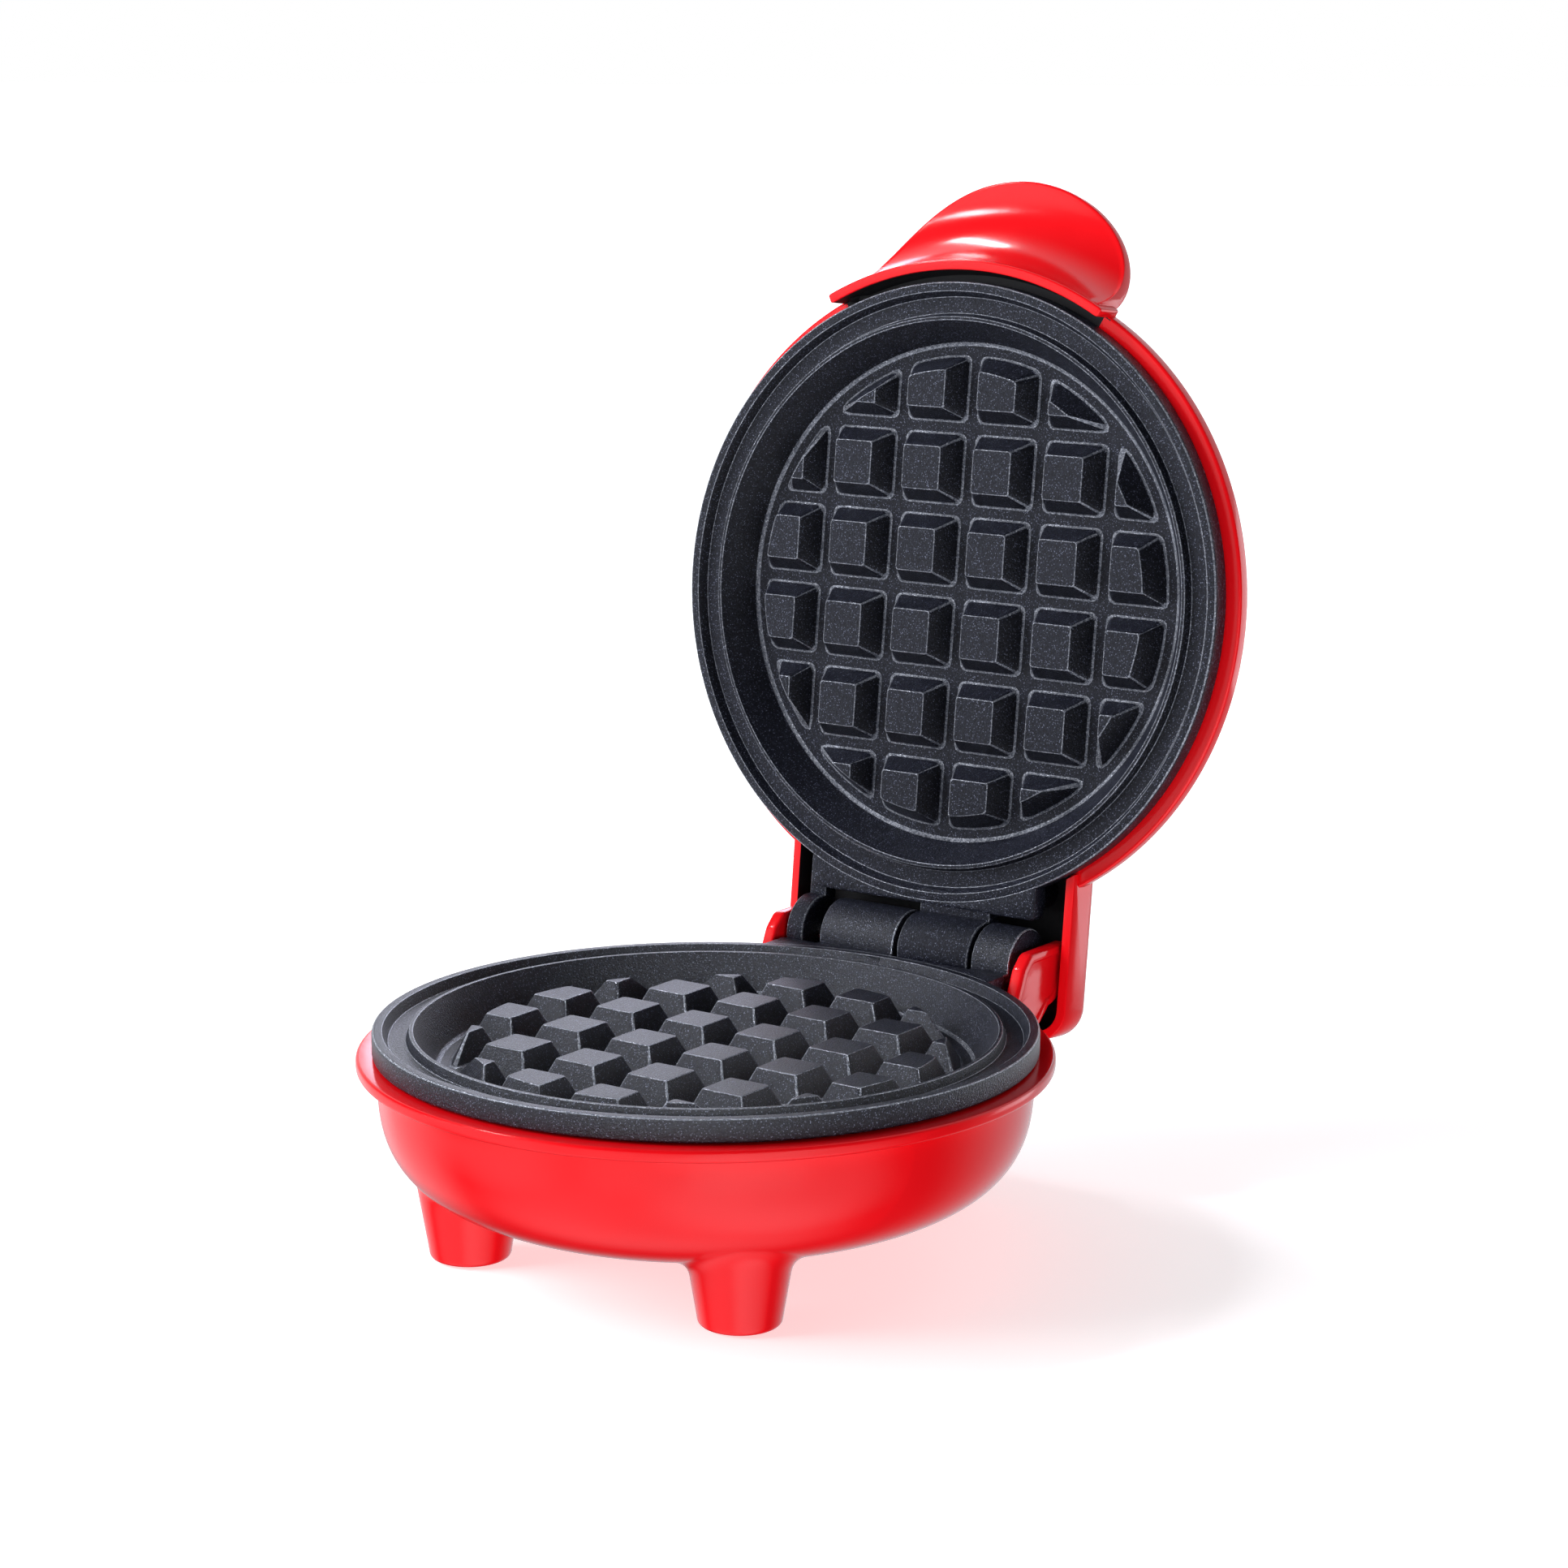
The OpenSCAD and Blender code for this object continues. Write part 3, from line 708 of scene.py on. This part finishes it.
def inner_profile(curve):
    """The hollow inside it, up to the parting plane."""
    outer, flat, top, depth, power_z, power_r = curve
    bend = superellipse(outer - WALL, flat, top, depth - WALL, power_z, power_r)
    return [(AXIS_R, WALL - depth), *map(tuple, bend), (outer - WALL, 0), (AXIS_R, 0)]


def bowl_depth_at(r):
    bend = superellipse(*BOWL, steps=400)
    return np.interp(r, bend[:, 0], bend[:, 1])


def foot(x, y, flare):
    """A tapered foot; flare is the reach of the fillet that runs out on the bowl."""
    lift = -PARTING_Z
    side = rounded([(5.0, 0.3), (FOOT_R, 0.3), (7.6, 2.6), (9.2, 12), (10.6, 20.5)],
                   [0, 1.2, 1.5, 6, 0], closed=False)
    steps = 96
    around = circle(steps)

    def ring(r, z):
        return ring_at((x, y), r, z, around)

    if not flare:
        return Solid().loft([ring(r, z + lift) for r, z in side])

    def cone(z):
        return np.interp(z - lift, side[:, 1], side[:, 0])

    def bowl_under(points):
        return bowl_depth_at(np.hypot(points[:, 0], points[:, 1]))

    # Where the cone meets the bowl, found by halving.
    low, high = np.full(steps, 4.0 + lift), np.full(steps, 20.0 + lift)
    for _ in range(30):
        middle = (low + high) / 2
        below = middle < bowl_under(ring(cone(middle), middle))
        low, high = np.where(below, middle, low), np.where(below, high, middle)
    meet = (low + high) / 2
    start = meet - flare
    level_top = 6  # above it, the rings tilt with the bowl
    rings = [ring(r, z + lift) for r, z in side if z <= level_top]
    for share in (0.35, 0.7):
        z = (level_top + lift) * (1 - share) + start * share
        rings.append(ring(cone(z), z))
    # A fillet from the cone out on the bowl, then a cap inside its wall.
    a, b, c = ring(cone(start), start), ring(cone(meet), meet), ring(cone(meet) + flare, 0)
    c[:, 2] = bowl_under(c) + 0.02
    for t in np.linspace(0, 1, 9):
        rings.append(a * (1 - t) ** 2 + b * 2 * t * (1 - t) + c * t ** 2)
    rings.append(rings[-1] + (0, 0, 1.0))
    return Solid().loft(rings)


def base_housing():
    """Bowl with its flange, the saddle and ears of the hinge, four feet and the cord inlet."""
    saddle_side = rounded(
        [(44, -7.2), (STOP_Y, -7.2), (STOP_Y, -14.2), (66.5, -18.5), (58, -22.5), (44, -26)],
        [0, 0.8, 2, 5, 9, 0])
    saddle = Solid().prism_x(saddle_side, -SADDLE_HALF, SADDLE_HALF, 1.0)
    axis = np.array([HINGE_Y, 0])
    ear_r = 7.8
    arc = [axis + ear_r * np.array([math.cos(a), math.sin(a)])
           for a in np.radians(np.arange(22, -84, -7))]
    ear_side = rounded(
        [(50, -13), (50, -7.6), (57.3, -5.5), (60.3, 1.2), (63, 3.8), (75.9, 3.8), *arc,
         (65, -12), (62, -13)], [0, 0, 1.5, 3, 2.5, 1.2] + [0] * len(arc) + [3, 0])
    ears = Solid()
    for s in (-1, 1):
        ears.prism_x(ear_side, s * EAR_IN, s * EAR_OUT, 0.6, dish=0.4)
    feet = [foot(x, y, 2.4 if y < 0 else 0) for x, y in FOOT_PLACES]
    wells = Solid()
    for place in FOOT_PLACES:
        wells.spin([(FOOT_WELL_R, -PARTING_Z - 1), (FOOT_WELL_R, -PARTING_Z + 1.9)], 48, place)
    round_hole = circle(48) * INLET_R
    inlet = Solid().loft([
        np.column_stack([round_hole[:, 0], np.full(48, y), INLET_Z + round_hole[:, 1]])
        for y in (40, 75)])
    pin_hole = Solid().tube_x(-PIN_SEAT, PIN_SEAT, HINGE_Y, 0, PIN_R + PIN_PLAY)
    steps = [("BASE", Solid().spin(outer_profile(BOWL, FLANGE_R))), ("UNION", saddle),
             *(("UNION", f) for f in feet), ("DIFFERENCE", Solid().spin(inner_profile(BOWL))),
             ("UNION", ears), ("DIFFERENCE", wells), ("DIFFERENCE", inlet),
             ("DIFFERENCE", pin_hole)]
    obj = combine("base_housing", steps)
    return finish_piece(obj, to_base, "base", "base_housing", "red_plastic", RED)


def handle_top(x, y):
    """Back of the visor, blended with the neck that runs up to the dome."""
    r = np.hypot(x, y)
    run = np.clip((SCOOP_R - r) / (SCOOP_REACH + VISOR), 0, 1)
    visor = SCOOP_Z + (SCOOP_RISE + VISOR) * np.sqrt(1 - run ** 2)
    ridge = np.interp(-y, [46, 62, 72, 79, 81], [23.2, 23.5, 23.2, 22.2, 21.9])
    neck = ridge - 16 * (np.abs(x) / 22) ** 2.6
    soft = 4
    blend = np.maximum(soft - np.abs(visor - neck), 0) / soft
    return np.maximum(np.maximum(visor, neck) + blend ** 2, INSIDE_FLANGE)


def handle():
    """The scooped visor: rings from inside the skirt out to the lip, then back over the top."""
    count = 192
    turn = np.linspace(-math.pi, math.pi, count, endpoint=False)
    ray = np.stack([np.sin(turn), -np.cos(turn)], 1)
    centre = np.array([0, HANDLE_Y])

    def at(radius):
        return centre + ray * np.reshape(radius, (-1, 1))

    def radius_to(r):
        """Distance along each ray from the handle's centre to radius r about the plate's axis."""
        away = -HANDLE_Y
        return -away * np.cos(turn) + np.sqrt(np.maximum(r ** 2 - (away * np.sin(turn)) ** 2, 0))

    edge = np.full(count, HANDLE_R - LIP_EDGE)
    edge_r = np.hypot(*at(edge).T)
    lip_angle = np.arccos(np.clip((SCOOP_R - edge_r) / SCOOP_REACH, -1, 1))
    front = edge_r > SCOOP_R - SCOOP_REACH + 0.02
    inner = np.interp(edge_r, [62.4, 63.6], [5.8, 1.3])
    rows = []
    # Behind the skirt: radius and height in front, and distance from the centre at the back.
    for r, z, back in [(60.8, 5.8, 26.0), (62.9, 2.6, 29.2)]:
        rho = np.where(front, np.minimum(radius_to(r), edge - 0.3), back)
        rows.append(np.column_stack([at(rho), np.where(front, z, np.maximum(inner, z))]))
    steps = 22
    for k in range(steps, -1, -1):
        a = np.maximum(lip_angle * (1 - k / (steps + 0.5)), 0.05)
        r = SCOOP_R - SCOOP_REACH * np.cos(a)
        rho = np.where(front, np.minimum(radius_to(r), edge), edge - 0.01 * k)
        z = np.where(front, SCOOP_Z + SCOOP_RISE * np.sin(a), inner)
        rows.append(np.column_stack([at(rho), z]))
    low = rows[-1][:, 2]
    back_r = HANDLE_R - BACK_EDGE
    top = handle_top(*at(back_r).T)
    for t in np.radians([30, 60, 90]):
        away, up = LIP_EDGE * math.sin(t), LIP_EDGE * (1 - math.cos(t))
        rows.append(np.column_stack([at(edge + away), low + up]))
    for t in np.radians([0, 25, 50, 75, 90]):
        rho = HANDLE_R - BACK_EDGE * (1 - math.cos(t))
        rows.append(np.column_stack([at(np.full(count, rho)), top - BACK_EDGE * (1 - math.sin(t))]))
    for share in np.linspace(0.985, 0.03, 34):
        place = at(np.full(count, back_r * share))
        rows.append(np.column_stack([place, handle_top(*place.T)]))
    return Solid().loft(rows)


def skirt():
    """The wall in front of the plate that the scoop rises from."""
    section = rounded(
        [(SKIRT_IN, SCOOP_Z), (SKIRT_OUT, SCOOP_Z), (SKIRT_OUT, SKIRT_TOP), (SKIRT_IN, SKIRT_TOP)],
        [0.35, 0.45, 0.3, 0.3])
    middle = [(angle, 0) for angle in np.linspace(-28.3, 28.3, 40)]
    # Angle and inset of the rings that round off an end.
    end = [(28.6, 0.03), (28.87, 0.2), (SKIRT_ANGLE, 0.5)]
    start = [(-angle, depth) for angle, depth in end[::-1]]
    rings = []
    for angle, depth in start + middle + end:
        a = math.radians(angle)
        away, height = (inset(section, depth) if depth else section).T
        rings.append(np.column_stack([away * math.sin(a), -away * math.cos(a), height]))
    return Solid().loft(rings)


def tab(depth, front, top, corner, crown):
    """The box over the hinge, or with depth its inside: a rounded plan with a rounded top edge."""
    half, start, end = TAB_HALF - depth, 44, TAB_END - depth
    plan = rounded([(-half, start), (half, start), (half, end), (-half, end)],
                   [0, 0, corner, corner], steps=10)
    levels = [(0.4, front), (0.12, front + 0.12), (0, front + 0.4)] if not depth else [(0, front)]
    for t in np.radians(np.linspace(0, 90, 8)):
        levels.append((crown * (1 - math.cos(t)), top - crown + crown * math.sin(t)))
    return Solid().prism_z(plan, levels)


def lid_housing():
    """Dome with its flange, the tab over the hinge, the skirt and the handle."""
    screw_wells = Solid()
    for place in LID_SCREWS[::-1]:
        screw_wells.spin([(LID_WELL_R, 11.4), (LID_WELL_R, 30)], 48, place)
    lens_hole = Solid().spin([(LENS_HOLE_R, 18), (LENS_HOLE_R, 40)], 48, LENS_PLACE)
    # Room for the plate's rim, just short of the flange's face.
    room_r, room_top = 60.5, -FLANGE_FACE - 0.1
    room = Solid().spin([(AXIS_R, -1), (room_r, -1), (room_r, room_top), (AXIS_R, room_top)])
    dome_out = Solid().spin(outer_profile(DOME, FLANGE_R - 0.25))
    dome_in = Solid().spin(inner_profile(DOME))
    for solid in (dome_out, dome_in):
        solid.points = list(turned_over(np.array(solid.points)))
    steps = [("BASE", dome_out), ("UNION", tab(0, TAB_FRONT, TAB_TOP, 6.5, 3.6)),
             ("UNION", handle()), ("UNION", skirt()), ("DIFFERENCE", dome_in),
             ("DIFFERENCE", tab(TAB_WALL, 1, TAB_TOP - TAB_WALL, 4.7, 2)), ("DIFFERENCE", room),
             ("DIFFERENCE", screw_wells), ("DIFFERENCE", lens_hole)]
    obj = combine("lid_housing", steps)
    reach = TAB_WALL - 0.1
    painted_shade_share = 0.483  # x over radius at the painted shade's ends, just inside the skirt's

    def painted_shade_faces(x, y, z, normal):
        """Faces inside the tab and behind the skirt that lie in deep shadow, painted matte black as
        painted shade.
        """
        r = np.hypot(x, y)
        in_tab = ((np.abs(x) < TAB_HALF - reach) & (y > 50) & (y < TAB_END - reach)
                  & (z > TAB_FRONT + 0.2) & (z < TAB_TOP - reach))
        behind_skirt = ((y < 0) & (np.abs(x) < painted_shade_share * r)
                        & (r > 57) & (r < SKIRT_IN + 0.1) & (z > 0.7) & (z < 6.5))
        return in_tab | behind_skirt

    # The faces in deep shadow get the painted shade black.
    mark(obj, painted_shade_faces)
    return finish_piece(obj, to_lid, "lid", "lid_housing", "red_plastic", RED, PAINTED_SHADE_BLACK)


lower = plate("lower_plate", spans=[(-18.2, -1), (17, 25.5)],
              boss=(FOOT_PLACES, 3.6, -8.6, -16), place=to_base, body="base")
upper = plate("upper_plate", spans=[(-16.1, 0), (22.3, 26.2)],
              boss=(LID_SCREWS, 3.4, -4.2, -10),
              place=lambda points: to_lid(turned_over(points)), body="lid")
shells = [base_housing(), lid_housing()]

for part in frame["nodes"].values():
    if not part.hide_render:
        part.data.polygons.foreach_set("use_smooth", [True] * len(part.data.polygons))


# ---------- camera, light, stage ----------

def look(azimuth, elevation, roll=0):
    """Right, up and back of someone who looks at the middle from that side, in degrees."""
    a, e, t = map(math.radians, (azimuth, elevation, roll))
    back = Vector((math.sin(a) * math.cos(e), -math.cos(a) * math.cos(e), math.sin(e)))
    right = Vector((math.cos(a), math.sin(a), 0))
    up = back.cross(right)
    return (math.cos(t) * right + math.sin(t) * up, -math.sin(t) * right + math.cos(t) * up, back)


right, up, back = look(azimuth=35.19, elevation=11.576, roll=0.19)
# Where the camera stands: along right, up and back from the middle of the parting plane.
TO_RIGHT, TO_UP, TO_BACK = 14.0, 42.8, 650.2
camera_data = bpy.data.cameras.new("camera")
camera_data.lens = 82.75
camera_data.sensor_width = 36
camera_data.clip_start, camera_data.clip_end = 0.05, 20
camera = bpy.data.objects.new("camera", camera_data)
bpy.context.scene.collection.objects.link(camera)
turn = Matrix((right, up, back)).transposed()
camera.matrix_world = Matrix.Translation(
    Vector((0, 0, PARTING_Z * MM))
    + (TO_RIGHT * right + TO_UP * up + TO_BACK * back) * MM) @ turn.to_4x4()
bpy.context.scene.camera = camera

MIDDLE = Vector((0, 0.03, 0.08))
COOL = (0.92, 0.945, 1.0)
VIOLET = (0.78, 0.79, 1.0)


def softbox(name, azimuth, elevation, distance, width, height, power, colour=(1, 1, 1)):
    """A rectangular light that faces the object's middle; distance and sides are in metres."""
    data = bpy.data.lights.new(name, "AREA")
    data.shape = "RECTANGLE"
    data.size, data.size_y = width, height
    data.energy = power
    data.color = colour
    obj = bpy.data.objects.new(name, data)
    bpy.context.scene.collection.objects.link(obj)
    direction = look(azimuth, elevation)[2]
    obj.location = MIDDLE + direction * distance
    obj.rotation_euler = direction.to_track_quat("Z", "Y").to_euler()
    return obj


def light_only(light, *receivers):
    """Keeps a light off everything but these pieces."""
    group = bpy.data.collections.new(light.name + "_receivers")
    for piece in receivers:
        group.objects.link(piece)
    light.light_linking.receiver_collection = group


softbox("streak", -129, 48, 0.8, 0.18, 0.05, 1.3, COOL)
softbox("spot", -60, 47, 0.9, 0.10, 0.10, 1.6, COOL)
# Lights that only show as highlights.
for name, azimuth, elevation, width, height, power, colour in [
        ("glint_high", 57, 39, 0.14, 0.14, 3.6, COOL),
        ("glint_low", 25, 10, 0.14, 0.10, 5.0, COOL),
        ("glint_left", -44, 30, 0.14, 0.14, 3.5, COOL),
        ("rear_right", 150, -3, 0.4, 0.5, 1.5, COOL),
        ("rear_left", -146, 18, 0.5, 0.3, 1.8, VIOLET)]:
    light = softbox(name, azimuth, elevation, 0.95, width, height, power, colour)
    light.visible_diffuse = False
    if name.startswith("glint"):
        light_only(light, lower)
# Broad lights that only brighten, with no highlight; an empty list means everything.
for name, azimuth, elevation, power, receivers in [
        ("fill_left", -50, 25, 14, []),
        ("fill_right", 50, -8, 11.5, shells),
        ("plate_left", -45, 12, 5, [lower, upper]),
        ("plate_right", 100, -4, 14, [lower, upper])]:
    light = softbox(name, azimuth, elevation, 1.2, 0.8, 0.8, power)
    light.visible_glossy = False
    if receivers:
        light_only(light, *receivers)

world = bpy.data.worlds.new("studio")
bpy.context.scene.world = world
world.use_nodes = True
sky = world.node_tree
direction = sky.nodes.new("ShaderNodeTexCoord").outputs["Generated"]


def glow(azimuth, elevation, inner, outer, strength):
    """A soft round patch of light on the world, in degrees from its middle."""
    dot = sky.nodes.new("ShaderNodeVectorMath")
    dot.operation = "DOT_PRODUCT"
    sky.links.new(direction, dot.inputs[0])
    dot.inputs[1].default_value = look(azimuth, elevation)[2]
    fade = sky.nodes.new("ShaderNodeMapRange")
    fade.interpolation_type = "SMOOTHSTEP"
    fade.inputs["From Min"].default_value = math.cos(math.radians(outer))
    fade.inputs["From Max"].default_value = math.cos(math.radians(inner))
    fade.inputs["To Max"].default_value = strength
    sky.links.new(dot.outputs["Value"], fade.inputs["Value"])
    return fade.outputs[0]


def plus(a, b):
    """The sum of two outputs, or of an output and a number."""
    node = sky.nodes.new("ShaderNodeMath")
    node.operation = "ADD"
    for socket, value in zip(node.inputs, (a, b)):
        if isinstance(value, float):
            socket.default_value = value
        else:
            sky.links.new(value, socket)
    return node.outputs[0]


# An even dim studio, and soft patches on it as for glow().
studio = 0.06
for patch in [(190, 10, 30, 75, 0.9), (-60, 50, 10, 40, 0.08), (10, -55, 20, 60, 1.1),
              (-42, 3, 12, 42, 1.1), (-95, -15, 8, 35, 1.0), (62, -32, 15, 45, 1.1),
              (8, -8, 5, 25, 0.5)]:
    studio = plus(glow(*patch), studio)
cool = sky.nodes.new("ShaderNodeVectorMath")
cool.operation = "SCALE"
cool.inputs[0].default_value = COOL
sky.links.new(studio, cool.inputs["Scale"])
# The camera sees plain white in its place.
shown = sky.nodes.new("ShaderNodeMix")
shown.data_type = "RGBA"
sky.links.new(sky.nodes.new("ShaderNodeLightPath").outputs["Is Camera Ray"], shown.inputs["Factor"])
sky.links.new(cool.outputs[0], shown.inputs[6])
shown.inputs[7].default_value = (1, 1, 1, 1)
sky.links.new(shown.outputs[2], sky.nodes["Background"].inputs["Color"])
sky.nodes["Background"].inputs["Strength"].default_value = 1.0

bpy.ops.mesh.primitive_plane_add(size=60, location=(0, 0, 0))
floor = bpy.context.object
floor.name = "floor"
# White paper that grows brighter from NEAR to FAR, in millimetres from the middle.
NEAR, FAR = 150, 1500
paper = Nodes("paper")
away = paper.tree.nodes.new("ShaderNodeVectorMath")
away.operation = "LENGTH"
paper.tree.links.new(paper.mm, away.inputs[0])
cloud = paper.ramp(paper.noise(0.004, 2), 0.3, 0.7)
floor.data.materials.append(paper.set(
    Base_Color=paper.mix(cloud, (0.88, 0.88, 0.88), (0.90, 0.90, 0.90)),
    Roughness=0.9,
    Specular_IOR_Level=0.0,
    Emission_Color=(1.0, 1.0, 1.0),
    Emission_Strength=paper.ramp(away.outputs["Value"], NEAR, FAR, 0.6, 1.05)))
floor.visible_diffuse = floor.visible_glossy = False

bpy.context.scene.view_settings.view_transform = "Standard"
